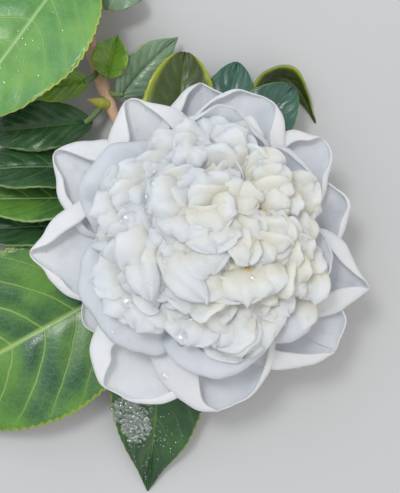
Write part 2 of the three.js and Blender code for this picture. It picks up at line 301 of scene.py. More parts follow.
DOME = Dome(rim=30.5, rise=20, radius=40.5)
# The lobes under those that show: how far out they reach, how far down they sit, and where they root.
UNDER_LOBES = {
    "middle": (2, 4), "reach": 31, "sink": 1.6,
    "widths": (9, 17), "hangs": (3.5, 6.5), "droops": (45, 80), "curls": (-0.07, -0.03, 0.05),
}
LOBE_ROOT = {"share": 0.45, "height": 21}
# Painted shade: small petals that lie deeper under the dome take creamier, darker tints, standing in for the
# warm shade down in the heart's crevices. How far under the dome each deeper tint starts, in millimetres.
SHADE_TINT_DEPTHS = (0.6, 2.7, 4.8)
# Painted shade: how much deeper the tint grows towards the right, the side away from the light, and how much
# paler towards the top and bottom.
SHADE_WARMER_RIGHT = 4.4
SHADE_PALER_ASIDE = 3.0
# Painted light: the guard petals on the twig's side, towards the light, wear the paler face: those further
# round than this, in degrees.
LIT_SIDE_FROM = 110
GOLDEN_ANGLE = math.pi * (3 - math.sqrt(5))
FILAMENT_RADIUS = 0.28


# Shapes of the twig and its leaves

TWIG_ROUTE = ((-30, 124, 2.2), (-40, 84, 3.2), (-31, 47, 5.6), (-9, 11, 3.2), (-1.2, 1.6, 4), (0, 0, 6.3))
TWIG_RADII = (2.2, 1.6)


class Leaf(NamedTuple):
    """One leaf: its node on the twig, its blade's two ends in millimetres, and how the blade is bent.

    Node runs from 0 at the twig's cut end to 1 at the bloom. Arch lifts the midrib and bend moves it to
    one side, roll turns the blade about it and fold lifts both halves, in degrees. A taper of 0 rounds
    the tip off.
    """

    node: float
    base: tuple
    tip: tuple
    width: float
    arch: float
    roll: float = 0.0
    fold: float = 8.0
    bend: float = 0.0
    taper: float = 1.0
    tone: str = "deep"


REST = 0.42
LEAVES = {
    "upper_left": Leaf(0.13, (-39.5, 95, 15), (-79.5, 35, 25), 44, 5, roll=8, tone="light"),
    "lower_left": Leaf(0.86, (-21, -9.5, 7), (-105, -56, REST), 57, 9, fold=5, tone="bright"),
    "bottom": Leaf(0.91, (-11, -14, 5.5), (-19, -84, REST), 32, 4, fold=12),
    "left_high": Leaf(0.54, (-37, 41.5, 9), (-75, 37, 9), 17, 4, roll=10),
    "left_small": Leaf(0.48, (-38, 55, 10.5), (-61, 51, 15), 11, 1, roll=-15, tone="young"),
    "left_upper": Leaf(0.68, (-30, 27, 10), (-84, 25, 13), 21, 3, roll=38),
    "left_middle": Leaf(0.74, (-28, 17, 9), (-87, 15, 12), 22, 3, roll=38, tone="bright"),
    "left_lower": Leaf(0.8, (-25, 8, 8), (-82, 5.5, 9), 20, 3, roll=38),
    "twig_top": Leaf(0.26, (-37, 88, 9), (-20.5, 82, 10), 15, 2, taper=0.5, tone="pale"),
    "twig_young": Leaf(0.44, (-32, 56, 11), (-28, 69.5, 14), 12, 1, fold=30, tone="young"),
    "twig_right": Leaf(0.52, (-28, 50, 7), (-8.5, 70.5, 6), 14, 4, roll=25, tone="pale"),
    "top_left": Leaf(0.77, (-10, 22, 7), (-6, 64.5, 11), 26, 4, roll=6, taper=0, tone="olive_painted_light"),
    "top": Leaf(0.83, (2, 18, 4), (11.5, 62, 7), 25, 3, roll=-4, taper=0.2, tone="teal"),
    "top_right": Leaf(0.87, (3, 23, 8), (29.7, 52.7, 13), 23, 3, taper=0, tone="teal"),
    "arching": Leaf(0.9, (15, 42, 3), (38.5, 42.5, REST), 12, 4, bend=15, roll=50, tone="olive_painted_light"),
    "right": Leaf(0.94, (12, 1, 4.5), (44, 4, REST), 23, 4),
    "lower_right": Leaf(0.95, (9, -9, 4), (42, -24, REST), 23, 4),
}
PETIOLE_RADIUS = 0.9
# A leaf's side veins: pairs, and how far they run up the leaf before they reach the margin.
VEIN_PAIRS = 8
VEIN_SWEEP = 2.2
# Its teeth: their spacing in millimetres, and their depth as a share of the half width.
TOOTH_SPACING = 2.8
TOOTH_DEPTH = 0.035
# A leaf wider than this, in millimetres, has a finer mesh.
LARGE_LEAF = 30

BUDS = {
    "upper": (0.575, (-0.75, 0.1, 0.65)),
    "lower": (0.28, (-0.8, -0.5, 0.3)),
}
BUD_LENGTH = 7.5
BUD_RADIUS = 1.9


class Drop(NamedTuple):
    """A rain drop: the place over which it sits, and its radius, in millimetres."""

    x: float
    y: float
    radius: float


DROPS = (
    Drop(7.3, -5.4, 2.2), Drop(-22.2, -16.3, 2.3), Drop(-6, -27, 2.6), Drop(-3.6, -21.5, 1.2),
    Drop(-11.8, -40, 1.3), Drop(-14.3, 22, 1.2), Drop(-14.3, 18, 1.1), Drop(-17, 14.5, 1.2),
    Drop(-23.4, 12, 1.0), Drop(-22.8, 8.5, 1.2), Drop(-24.2, 7.4, 0.9), Drop(-9, 13.3, 0.8),
    Drop(-6, 9.6, 0.8), Drop(-2.6, 9.6, 0.8), Drop(-12.3, -2.5, 0.8), Drop(-11, -4.5, 0.7),
    Drop(-14.8, -10.5, 1.0), Drop(-12, -9, 0.8), Drop(14.2, -9.2, 1.1), Drop(0.6, -4, 0.7),
)


class Tuft(NamedTuple):
    """A few stamens that show between the petals: how many, and the place of their anthers, in millimetres.

    Sink is how far under the dome they lie, or over it where it is negative.
    """

    x: float
    y: float
    sink: float
    count: int


TUFTS = (
    Tuft(-4.3, 1.9, -2.2, 5),
    Tuft(12.5, -6.5, -1.4, 7),
    Tuft(-15.6, 4.5, 0.4, 3),
    Tuft(12, 10, -1.0, 4),
    Tuft(17, 11.5, 0.6, 3),
    Tuft(9.5, 22, 0.4, 3),
)


class Shower(NamedTuple):
    """Small drops strewn about a place: its middle, its spread and their radii, in millimetres."""

    x: float
    y: float
    spread: float
    count: int
    radii: tuple


SHOWERS = (
    Shower(0, 0, 50, 90, (0.25, 0.55)),
    Shower(-25.5, -55, 5, 230, (0.35, 1.0)),
    Shower(-22.5, -61, 5, 230, (0.35, 1.0)),
    Shower(-20.5, -54, 3.5, 60, (0.3, 0.7)),
    Shower(-20, -70, 10, 50, (0.25, 0.5)),
    Shower(-12, -62, 6, 30, (0.25, 0.45)),
    Shower(-60, 60, 20, 30, (0.3, 0.6)),
)


DROP_SEED = 3
# A drop's height, as a share of its width, and the radius over which it is a finer ball, in millimetres.
DROP_HEIGHT = 0.75
LARGE_DROP = 1

# The stage: each soft square light's place from the bloom, size in metres, power and colour.
LAMPS = {
    "sky light": ((-0.45, 0.4, 0.85), 1.0, 2.5, (0.78, 0.88, 1.0)),
    "warm fill": ((0.6, -0.35, 0.5), 0.8, 1.4, (1.0, 0.92, 0.8)),
    "glint": ((-0.25, 0.3, 0.9), 0.2, 3.0, (1.0, 1.0, 1.0)),
}
SURROUNDINGS_COLOUR = (0.97, 0.98, 1.0, 1)
SURROUNDINGS_STRENGTH = 0.68
FLOOR_SIZE = 6.0
# How far the camera stands left of the bloom's axis, in millimetres.
CAMERA_ASIDE = 1.0


# Sums

def smooth(x):
    x = min(max(x, 0.0), 1.0)
    return x * x * (3 - 2 * x)


def mix(a, b, share):
    return a + (b - a) * share


def heading_of(degrees):
    """The level direction at that azimuth, and the level direction a quarter turn on from it."""
    angle = math.radians(degrees)
    return Vector((math.cos(angle), math.sin(angle), 0)), Vector((-math.sin(angle), math.cos(angle), 0))


def bend_sideways(centre, sideways, inwards, across, curl, lift=0.0):
    """The place across a strip whose section is an arc of that curl, lifted off it by lift."""
    if abs(curl) < 1e-6:
        return centre + sideways * across + inwards * lift
    lean = across * curl
    return (
        centre
        + sideways * (math.sin(lean) * (1 / curl - lift))
        + inwards * ((1 - math.cos(lean)) / curl + math.cos(lean) * lift)
    )


class Route:
    """A smooth curve through points, measured along its length from 0 to 1."""

    def __init__(self, points, steps=64):
        self.samples = []
        points = [Vector(p) for p in points]
        ends = [2 * points[0] - points[1], *points, 2 * points[-1] - points[-2]]
        for before, start, end, after in zip(ends, ends[1:], ends[2:], ends[3:]):
            spans = [math.sqrt((q - p).length) for p, q in ((before, start), (start, end), (end, after))]
            leave = self.slope(before, start, end, spans[0], spans[1]) * spans[1]
            arrive = self.slope(start, end, after, spans[1], spans[2]) * spans[1]
            for step in range(steps):
                self.samples.append(self.between(start, end, leave, arrive, step / steps))
        self.samples.append(points[-1])
        self.lengths = [0.0]
        for p, q in zip(self.samples, self.samples[1:]):
            self.lengths.append(self.lengths[-1] + (q - p).length)

    @staticmethod
    def slope(p, q, r, first, second):
        return (q - p) / first - (r - p) / (first + second) + (r - q) / second

    @staticmethod
    def between(start, end, leave, arrive, t):
        return (
            start
            + leave * t
            + (3 * (end - start) - 2 * leave - arrive) * t**2
            + (2 * (start - end) + leave + arrive) * t**3
        )

    def point(self, share):
        wanted = min(max(share, 0.0), 1.0) * self.lengths[-1]
        at = next((i for i, length in enumerate(self.lengths) if length >= wanted), 1) or 1
        span = self.lengths[at] - self.lengths[at - 1]
        return self.samples[at - 1].lerp(self.samples[at], (wanted - self.lengths[at - 1]) / span)

    def heading(self, share):
        return (self.point(share + 0.01) - self.point(share - 0.01)).normalized()


class Arc:
    """A curve with three control points, from 0 to 1."""

    def __init__(self, start, middle, end):
        self.start, self.middle, self.end = start, middle, end

    def point(self, t):
        return self.start * (1 - t) ** 2 + self.middle * (2 * t * (1 - t)) + self.end * t**2

    def heading(self, t):
        return ((self.middle - self.start) * (1 - t) + (self.end - self.middle) * t).normalized()


TWIG = Route(TWIG_ROUTE)


# Meshes

def grid(bm, columns, rows, place):
    """A grid whose corners go where place says. place takes two numbers from -1 to 1, and gives a point
    and the two numbers of the pattern on the surface there."""
    pattern = bm.loops.layers.uv.verify()
    verts = bmesh.ops.create_grid(bm, x_segments=columns, y_segments=rows, size=1.0)["verts"]
    numbers = {}
    for vert in verts:
        vert.co, numbers[vert] = place(vert.co.x, vert.co.y)
    faces = {face for vert in verts for face in vert.link_faces}
    for face in faces:
        face.smooth = True
        for loop in face.loops:
            loop[pattern].uv = numbers[loop.vert]
    return verts


def tube(bm, curve, radius_at, sides, steps, shape=None):
    """A closed round limb along a curve, flat at both ends. shape may change the radius by angle."""
    side = curve.heading(0.02).orthogonal().normalized()

    def place(u, v):
        step = round((v + 1) / 2 * (steps + 2)) - 1
        share = min(max(step / steps, 0.0), 1.0)
        heading = curve.heading(share)
        across = (side - heading * side.dot(heading)).normalized()
        angle = u * math.pi
        radius = radius_at(share) if 0 <= step <= steps else 0.0
        if shape:
            radius *= shape(angle, share)
        spoke = across * math.cos(angle) + heading.cross(across) * math.sin(angle)
        return curve.point(share) + spoke * radius, ((u + 1) / 2, share)

    grid(bm, sides, steps + 2, place)


class Ball:
    """A round ball of radius 1, made once and then copied into other meshes as often as they need it."""

    def __init__(self, sides):
        bm = bmesh.new()
        bmesh.ops.create_uvsphere(bm, u_segments=sides, v_segments=sides * 3 // 4, radius=1.0)
        self.corners = [vert.co.copy() for vert in bm.verts]
        self.faces = [[vert.index for vert in face.verts] for face in bm.faces]
        bm.free()

    def copy_to(self, bm, place):
        verts = [bm.verts.new(place @ corner) for corner in self.corners]
        for face in self.faces:
            bm.faces.new([verts[index] for index in face]).smooth = True


def finish_piece(bm, name, materials, nodes=(), thickness=0.0, merge=0.002, two_faced=False):
    """Puts a finished mesh in the model's frame as a piece that rides with the sprig.

    A two-faced piece wears its first material on its back and its second on its face.
    """
    bmesh.ops.remove_doubles(bm, verts=bm.verts, dist=merge)
    bmesh.ops.dissolve_degenerate(bm, edges=bm.edges, dist=merge)
    bmesh.ops.transform(bm, matrix=PLACE, verts=bm.verts)
    mesh = bpy.data.meshes.new(name)
    bm.to_mesh(mesh)
    bm.free()
    for material in materials:
        mesh.materials.append(material)
    piece = bpy.data.objects.new(name, mesh)
    bpy.context.scene.collection.objects.link(piece)
    if thickness:
        wall = piece.modifiers.new("thickness", "SOLIDIFY")
        wall.thickness = thickness
        wall.offset = 0.0
        wall.material_offset = 1 if two_faced else 0
        wall.material_offset_rim = 0
    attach(piece, "root")
    if nodes:
        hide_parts(*nodes)
    return piece


# Materials

class Finish:
    """A material made node by node round one principled shader."""

    def __init__(self, name, **sockets):
        self.material = bpy.data.materials.new(name)
        self.material.use_nodes = True
        self.tree = self.material.node_tree
        self.shader = self.tree.nodes["Principled BSDF"]
        for socket, value in sockets.items():
            self.set(socket.replace("_", " "), value)

    def set(self, socket, value):
        self.feed(self.shader.inputs[socket], value)

    def feed(self, socket, value):
        if isinstance(value, bpy.types.NodeSocket):
            self.tree.links.new(value, socket)
        elif socket.type == "RGBA":
            socket.default_value = (*value, 1.0)
        else:
            socket.default_value = value

    def node(self, kind, inputs=None, **settings):
        node = self.tree.nodes.new("ShaderNode" + kind)
        for setting, value in settings.items():
            setattr(node, setting, value)
        for socket, value in (inputs or {}).items():
            self.feed(node.inputs[socket], value)
        return node

    def place(self, kind="Object"):
        return self.node("TexCoord").outputs[kind]

    def along(self):
        """How far up the piece's own pattern a place is, from 0 to 1."""
        return self.node("SeparateXYZ", {0: self.place("UV")}).outputs[1]

    def stretched(self, *scale):
        """Places on the piece's own pattern, stretched."""
        return self.node("Mapping", {"Vector": self.place("UV"), "Scale": scale}).outputs[0]

    def noise(self, vector, scale, detail=2.0):
        return self.node("TexNoise", {"Vector": vector, "Scale": scale, "Detail": detail}).outputs[0]

    def maths(self, operation, *values):
        node = self.node("Math", operation=operation)
        for socket, value in zip(node.inputs, values):
            self.feed(socket, value)
        return node.outputs[0]

    def times(self, value, share):
        return self.maths("MULTIPLY", value, share)

    def between(self, value, low, high, first=0.0, last=1.0):
        inputs = {"Value": value, "From Min": low, "From Max": high, "To Min": first, "To Max": last}
        return self.node("MapRange", inputs, interpolation_type="SMOOTHSTEP").outputs[0]

    def blend(self, share, first, second):
        node = self.node("Mix", data_type="RGBA")
        for socket, value in ((0, share), (6, first), (7, second)):
            self.feed(node.inputs[socket], value)
        return node.outputs[2]

    def roughness(self, cloud, low, high, first, last):
        self.set("Roughness", self.between(cloud, low, high, first, last))

    def relief(self, height, depth, strength, under=None):
        inputs = {"Height": height, "Distance": depth, "Strength": strength}
        if under:
            inputs["Normal"] = under
        return self.node("Bump", inputs).outputs[0]


def petal_finish(name, translucence, flesh, shaded, root=None):
    """Petal flesh of one colour with paler clouds: soft light goes through it, and fine veins run along it.

    Where a root colour is given, the petal takes it below its crest, a painted shade for the valleys between
    the small petals.
    """
    finish = Finish(name, Specular_IOR_Level=0.4, Sheen_Weight=0.1)
    where = finish.place()
    cloud = finish.noise(where, 160.0)
    shade = finish.times(finish.between(cloud, 0.3, 0.75), 0.5)
    colour = finish.blend(shade, flesh, shaded)
    # Painted shade: below its crest the small petal takes the root colour, for the valleys between the
    # petals.
    if root:
        colour = finish.blend(finish.between(finish.along(), 0.34, 0.66), root, colour)
    finish.set("Base Color", colour)
    veins = finish.noise(finish.stretched(46, 2.2, 1), 1.0, 3.0)
    soft = finish.relief(finish.noise(where, 420.0, 3.0), 0.0002, 0.35)
    finish.set("Normal", finish.relief(veins, 0.0003, 0.38, soft))
    finish.roughness(cloud, 0.25, 0.8, 0.34, 0.54)
    glow = finish.node("BsdfTranslucent", {"Color": colour}).outputs[0]
    through = finish.node("MixShader", {0: translucence, 1: finish.shader.outputs[0], 2: glow})
    surface = next(node for node in finish.tree.nodes if node.type == "OUTPUT_MATERIAL")
    finish.feed(surface.inputs["Surface"], through.outputs[0])
    return finish.material


class Tone(NamedTuple):
    """The colours of a leaf: its flesh, its shaded flesh, its veins and its margin.

    Rim is where the margin's colour starts, as a share of the way from the midrib.
    """

    flesh: tuple
    shade: tuple
    vein: tuple
    margin: tuple
    rim: float = 0.955


LEAF_TONES = {
    "deep": Tone((0.035, 0.11, 0.03), (0.014, 0.05, 0.02), (0.1, 0.22, 0.05), (0.2, 0.3, 0.03)),
    "bright": Tone((0.1, 0.25, 0.03), (0.018, 0.085, 0.035), (0.3, 0.45, 0.13), (0.3, 0.4, 0.06)),
    "light": Tone((0.17, 0.37, 0.07), (0.08, 0.24, 0.06), (0.3, 0.5, 0.2), (0.45, 0.52, 0.07)),
    "young": Tone((0.18, 0.34, 0.03), (0.08, 0.2, 0.02), (0.36, 0.46, 0.08), (0.45, 0.48, 0.04)),
    "teal": Tone((0.05, 0.15, 0.1), (0.025, 0.085, 0.06), (0.1, 0.22, 0.12), (0.25, 0.38, 0.05)),
    # Painted sheen: the pale leaves are greyer and paler than their green, standing in for the sky's sheen on
    # their gloss.
    "pale": Tone((0.27, 0.37, 0.26), (0.12, 0.22, 0.11), (0.33, 0.45, 0.27), (0.4, 0.46, 0.12)),
    # Painted light and shade: the olive leaves' dark flesh is partly their own dark green and partly painted
    # shade, and their broad bright margin, from 0.72 of the way out, is a painted light along their lit edge.
    "olive_painted_light": Tone((0.05, 0.08, 0.014), (0.025, 0.045, 0.01), (0.13, 0.18, 0.02), (0.36, 0.42, 0.02), 0.72),
}


def leaf_finish(tone, leaves):
    """Thick glossy leaf flesh, with paler veins that branch from the midrib and a thin yellow margin."""
    flesh, shade, vein, margin, rim = LEAF_TONES[tone]
    thick = {"Subsurface_Weight": 0.08, "Subsurface_Scale": 0.0006}
    finish = Finish(f"{tone} leaf", Specular_IOR_Level=0.4, Coat_Weight=0.2, Coat_Roughness=0.2, **thick)
    where = finish.place()
    axes = finish.node("SeparateXYZ", {"Vector": finish.place("UV")}).outputs
    aside = finish.maths("ABSOLUTE", finish.maths("MULTIPLY_ADD", axes[0], 2.0, -1.0))
    along = axes[1]
    sweep = finish.times(finish.maths("POWER", aside, 1.35), VEIN_SWEEP)
    phase = finish.maths("SUBTRACT", finish.times(along, float(VEIN_PAIRS)), sweep)
    wobble = finish.times(finish.maths("SUBTRACT", finish.noise(where, 90.0), 0.5), 0.25)
    off = finish.maths("PINGPONG", finish.maths("ADD", phase, wobble), 0.5)
    side_veins = finish.between(off, 0.0, 0.055, 1.0, 0.0)
    faded = finish.times(side_veins, finish.between(aside, 0.55, 0.98, 1.0, 0.15))
    midrib = finish.between(aside, 0.0, 0.05, 1.0, 0.0)
    cells = {"Vector": where, "Scale": leaves.net_scale}
    walls = finish.node("TexVoronoi", cells, feature="DISTANCE_TO_EDGE").outputs[0]
    net = finish.between(walls, 0.0, 0.12, 1.0, 0.0)
    cloud = finish.noise(where, 55.0, 3.0)
    colour = finish.blend(finish.between(cloud, 0.32, 0.68), shade, flesh)
    near_vein = finish.between(off, 0.0, 0.3, 0.4, 0.0)
    colour = finish.blend(near_vein, colour, flesh)
    colour = finish.blend(finish.times(net, 0.1), colour, vein)
    colour = finish.blend(finish.times(faded, 0.75), colour, vein)
    colour = finish.blend(midrib, colour, vein)
    # On the olive leaves this margin is a broad band, a painted light along their lit edge.
    colour = finish.blend(finish.between(aside, rim, 1.0), colour, margin)
    finish.set("Base Color", colour)
    finish.roughness(cloud, 0.2, 0.8, 0.24, 0.42)
    ribs = finish.maths("MAXIMUM", midrib, faded)
    bumps = finish.relief(finish.noise(where, 900.0), 0.0001, 0.25)
    bumps = finish.relief(net, -0.00006, 0.3, bumps)
    finish.set("Normal", finish.relief(ribs, -0.0003, 0.8, bumps))
    return finish.material


def underleaf_finish(leaves):
    """The leaf's paler, duller underside."""
    finish = Finish("leaf underside", Specular_IOR_Level=0.3)
    where = finish.place()
    cloud = finish.noise(where, 120.0, 3.0)
    finish.set("Base Color", finish.blend(cloud, leaves.underside, leaves.underside_pale))
    finish.roughness(cloud, 0.2, 0.8, 0.5, 0.65)
    finish.set("Normal", finish.relief(finish.noise(where, 700.0), 0.0001, 0.4))
    return finish.material


def bark_finish(leaves):
    """Thin young bark: pinkish brown with paler length-wise cracks and small corky specks."""
    finish = Finish("twig bark", Roughness=0.7)
    grain = finish.noise(finish.stretched(16, 60, 1), 1.0, 4.0)
    specks = finish.between(finish.noise(finish.place(), 900.0), 0.62, 0.7)
    colour = finish.blend(grain, leaves.bark_dark, leaves.bark)
    colour = finish.blend(finish.times(specks, 0.7), colour, leaves.bark_speck)
    finish.set("Base Color", colour)
    finish.set("Normal", finish.relief(grain, 0.0004, 0.7))
    return finish.material


def wood_finish():
    """The pale wood of the twig's cut end, with its rings."""
    finish = Finish("cut wood", Roughness=0.6)
    rings = finish.noise(finish.stretched(4, 240, 1), 1.0)
    finish.set("Base Color", finish.blend(rings, (0.55, 0.5, 0.3), (0.72, 0.66, 0.42)))
    finish.set("Normal", finish.relief(rings, 0.0002, 0.5))
    return finish.material


def sepal_finish(bloom):
    """Downy green sepals, browner towards their rims."""
    finish = Finish("sepal", Sheen_Weight=0.5, Sheen_Roughness=0.4, Specular_IOR_Level=0.3)
    cloud = finish.noise(finish.place(), 300.0, 3.0)
    rim = finish.between(finish.along(), 0.75, 1.0)
    colour = finish.blend(cloud, bloom.sepal, bloom.sepal_pale)
    finish.set("Base Color", finish.blend(rim, colour, (0.3, 0.26, 0.09)))
    finish.roughness(cloud, 0.3, 0.7, 0.5, 0.68)
    finish.set("Normal", finish.relief(finish.noise(finish.place(), 2500.0), 0.0001, 0.5))
    return finish.material


def bud_finish():
    """Yellow green bud scales with reddish edges."""
    finish = Finish("bud scales", Specular_IOR_Level=0.5, Coat_Weight=0.2)
    cloud = finish.noise(finish.place(), 500.0, 3.0)
    colour = finish.blend(cloud, (0.5, 0.48, 0.05), (0.36, 0.42, 0.08))
    blush = finish.times(finish.between(finish.along(), 0.55, 1.0), 0.6)
    finish.set("Base Color", finish.blend(blush, colour, (0.5, 0.2, 0.1)))
    finish.roughness(cloud, 0.3, 0.7, 0.35, 0.5)
    finish.set("Normal", finish.relief(cloud, 0.0003, 0.4))
    return finish.material


def stamen_finish():
    """Golden pollen on the stamens that show between the petals."""
    finish = Finish("stamens", Roughness=0.75)
    grains = finish.noise(finish.place(), 2600.0)
    finish.set("Base Color", finish.blend(grains, (0.62, 0.4, 0.07), (0.85, 0.66, 0.2)))
    finish.set("Normal", finish.relief(grains, 0.0002, 0.8))
    return finish.material


def water_finish():
    """Clear rain water."""
    finish = Finish(
        "rain water",
        Base_Color=(0.93, 0.96, 0.98),
        Roughness=0.02,
        IOR=1.333,
        Transmission_Weight=1.0,
        Specular_IOR_Level=0.8,
        Coat_Weight=1.0,
        Coat_IOR=2.3,
        Coat_Roughness=0.03,
    )
    return finish.material


def floor_finish(stage):
    """A plain pale surface with the faintest unevenness."""
    finish = Finish("pale floor", Specular_IOR_Level=0.2)
    cloud = finish.noise(finish.place(), 6.0, 3.0)
    finish.set("Base Color", finish.blend(finish.times(cloud, 0.12), stage.floor, (1, 1, 1)))
    finish.roughness(cloud, 0.2, 0.8, 0.7, 0.85)
    return finish.material


# Petals

class PetalSheet:
    """The curved sheet that a large petal is cut from: it climbs outwards along an arc, with its sides
    curled up about its length."""

    def __init__(self, ring, petal):
        start, end = (math.radians(slope) for slope in ring.climb)
        self.outwards, self.sideways = heading_of(petal.azimuth)
        self.start = start
        self.length = (petal.reach - ring.root) * (end - start) / (math.sin(end) - math.sin(start))
        self.turn = (end - start) / self.length
        self.root = ring.root
        self.height = ring.first_level + petal.level * ring.level_step
        self.curl = ring.curl
        self.sway = petal.sway

    def point(self, along, across, lift):
        """The place that far along and across the petal, in millimetres, lifted off its inner face."""
        climb = self.start + self.turn * along
        run = self.root + (math.sin(climb) - math.sin(self.start)) / self.turn
        rise = self.height - (math.cos(climb) - math.cos(self.start)) / self.turn
        centre = self.outwards * run + UP * rise
        centre += self.sideways * (self.sway * (along / self.length) ** 3)
        inwards = UP * math.cos(climb) - self.outwards * math.sin(climb)
        return bend_sideways(centre, self.sideways, inwards, across, self.curl, lift)


def petal_margin(place, petal, length):
    """The margin in millimetres along and across, at a place from -1 through the tip at 0 to 1."""
    away = abs(place)
    if away < TIP_SHARE:
        angle = (1 - away / TIP_SHARE) * math.pi / 2
        along = WIDEST + (1 - WIDEST) * math.sin(angle)
        share = max(math.cos(angle), 0.0) ** (2 * petal.point)
    else:
        along = WIDEST * (1 - (away - TIP_SHARE) / (1 - TIP_SHARE))
        share = CLAW_WIDTH + (1 - CLAW_WIDTH) * smooth(along / WIDEST)
    across = math.copysign(share * petal.width / 2, place)
    return Vector((along * length, across))


def fold_at(place, petal, bloom):
    """The width of the folded margin there in millimetres, and how far it is turned over."""
    width = bloom.margin_roll / MM
    turn = math.radians(100)
    for fold in petal.folds:
        share = (place - fold.start) / (fold.end - fold.start)
        if 0 < share < 1:
            swell = math.sin(math.pi * share) ** 0.8
            width = max(width, fold.width * swell)
            turn = mix(turn, math.radians(fold.turn), smooth(2.2 * swell))
    return width, turn


def petal_mesh(bm, ring, petal, seed, bloom):
    """One large petal. Its rows run from a line down its middle out to its margin and over the fold."""
    sheet = PetalSheet(ring, petal)
    rows = BODY_ROWS + FOLD_ROWS
    step = 0.01

    def wave(along, across):
        spot = Vector((along * 0.09, across * 0.09, seed * 7.3))
        broad = noise.noise(spot) * 1.6
        fine = noise.noise(spot * 3.1) * 0.45
        rise = smooth(along / sheet.length * 1.3)
        return (broad + fine) * petal.wave * rise

    def place(u, v):
        margin = petal_margin(u, petal, sheet.length)
        slope = petal_margin(min(u + step, 1), petal, sheet.length)
        slope -= petal_margin(max(u - step, -1), petal, sheet.length)
        inward = Vector((slope.y, -slope.x)).normalized()
        if inward.dot(Vector((WIDEST * sheet.length * 0.8, 0)) - margin) < 0:
            inward = -inward
        # The line down the middle depends on both halves' shared outline only, so that the halves join.
        spine = margin.x
        if spine > WIDEST * sheet.length:
            spine = mix(WIDEST * sheet.length, spine, 0.45)
        width, turn = fold_at(u, petal, bloom)
        width *= FOLD_SCALE * (1 + FOLD_UNEVENNESS * noise.noise(Vector((u * 5, seed * 1.7, 0))))
        radius = min(FOLD_RADIUS, width / turn * 1.4)
        ruffle = noise.noise(Vector((margin.x * RUFFLE_PITCH, margin.y * RUFFLE_PITCH, seed * 3.3)))
        margin = margin + inward * (radius + MARGIN_RUFFLE * ruffle)
        row = (v + 1) / 2 * rows
        if row <= BODY_ROWS:
            share = row / BODY_ROWS
            flat = Vector((spine, 0)).lerp(margin, share)
            lift = 0.0
        else:
            share = 1.0
            past = (row - BODY_ROWS) / FOLD_ROWS * width
            angle = min(past / radius, turn)
            rest = max(past - radius * turn, 0.0)
            flat = margin - inward * (radius * math.sin(angle) + rest * math.cos(angle))
            lift = radius * (1 - math.cos(angle)) + rest * math.sin(angle)
        lift += wave(mix(flat.x, margin.x, 0.6 * share), flat.y)
        pattern = (0.5 + flat.y / petal.width, flat.x / sheet.length)
        return sheet.point(flat.x, flat.y, lift), pattern

    grid(bm, PETAL_COLUMNS, rows, place)


def lobe_mesh(bm, crest, lobe, seed, crumple):
    """One small petal: it climbs from its root, rolls over its crest and hangs beyond it."""
    heading, sideways = heading_of(lobe.heading)
    root = Vector((crest.x * LOBE_ROOT["share"], crest.y * LOBE_ROOT["share"], LOBE_ROOT["height"]))
    reach = (crest - root).length
    climb = heading * math.cos(LOBE_SLOPE) + UP * math.sin(LOBE_SLOPE)
    controls = (root, root + UP * (crest.z - root.z) * 0.6, crest - climb * min(reach * 0.45, 9), crest)
    droop = math.radians(lobe.droop)
    radius = lobe.hang / (droop + LOBE_SLOPE)
    rising_rows, hanging_rows = 8, 9
    rows = rising_rows + hanging_rows

    def centre_line(row):
        """The place on the centre line, its direction, and the share of the half width there."""
        if row <= rising_rows:
            t = row / rising_rows
            a, b, c, d = controls
            spot = a * (1 - t) ** 3 + b * (3 * t * (1 - t) ** 2) + c * (3 * t**2 * (1 - t)) + d * t**3
            way = (b - a) * (1 - t) ** 2 + (c - b) * (2 * t * (1 - t)) + (d - c) * t**2
            return spot, way.normalized(), mix(0.25, 1.0, smooth(t * 1.3))
        share = math.sin((row - rising_rows) / hanging_rows * math.pi / 2)
        angle = mix(-LOBE_SLOPE, droop, share)
        spot = crest + heading * (radius * (math.sin(angle) + math.sin(LOBE_SLOPE)))
        spot += UP * (radius * (math.cos(angle) - math.cos(LOBE_SLOPE)))
        way = heading * math.cos(angle) - UP * math.sin(angle)
        return spot, way, max(1 - share**2.6, 0.0) ** 0.5

    def place(u, v):
        row = (v + 1) / 2 * rows
        spot, way, share = centre_line(row)
        across = (sideways - way * sideways.dot(way)).normalized()
        across.rotate(Matrix.Rotation(math.radians(lobe.roll) * smooth(row / rising_rows), 3, way))
        upward = way.cross(across)
        flat = u * lobe.width / 2
        away = row / rows * (reach + lobe.hang)
        flutes = noise.noise(Vector((flat * 0.24, away * 0.05, seed * 5.1))) * 2.6
        flutes += noise.noise(Vector((flat * 0.6, away * 0.12, seed * 3.7))) * 0.6
        lift = flutes * crumple * mix(0.1, 1.0, smooth(row / rows * 1.15))
        lift += lobe.crease * (math.sqrt(flat**2 + 2) - 1.4) * smooth(row / rising_rows)
        edge = 1 + 0.25 * noise.noise(Vector((away * 0.2, math.copysign(3.0, u), seed * 9.7)))
        spread = flat * max(share, 0.03) * edge
        return bend_sideways(spot, across, upward, spread, lobe.curl, lift), ((u + 1) / 2, row / rows)

    return grid(bm, max(12, round(lobe.width)), rows, place)


